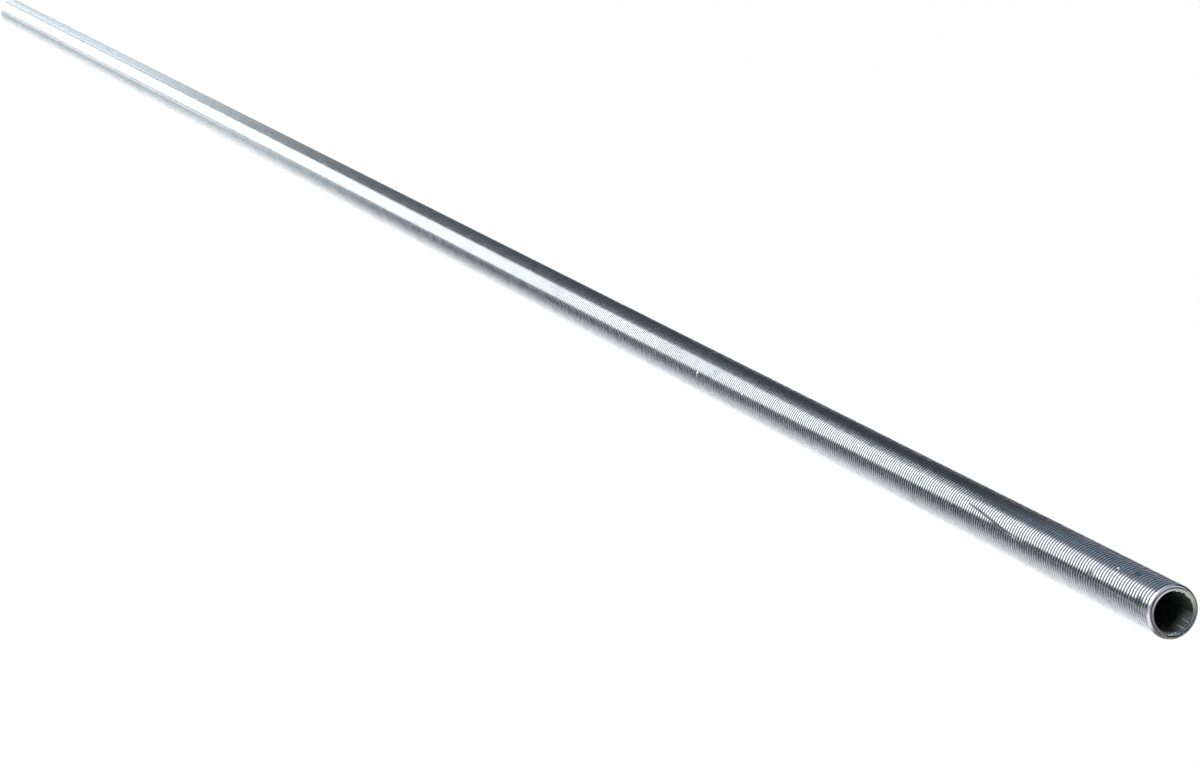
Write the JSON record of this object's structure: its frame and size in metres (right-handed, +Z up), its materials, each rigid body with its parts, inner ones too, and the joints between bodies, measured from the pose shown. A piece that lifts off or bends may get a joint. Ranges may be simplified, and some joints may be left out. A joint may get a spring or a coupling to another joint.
{
  "type": "threaded rod",
  "caption": "Hollow threaded rod: a straight steel tube with a fine metric thread over its whole outside, a plain through bore and chamfered cut ends.",
  "frame": {"origin": "on the surface that the tube lies on, below the middle of its length", "axes": "+X along the tube towards the cut end that the picture shows, +Z up"},
  "size_m": [1, 0.01, 0.01],
  "materials": {
    "zinc_plated_steel": "bright zinc plating on steel, rolled thread"
  },
  "bodies": {
    "root": {"threaded_tube": "zinc_plated_steel"}
  },
  "joints": []
}
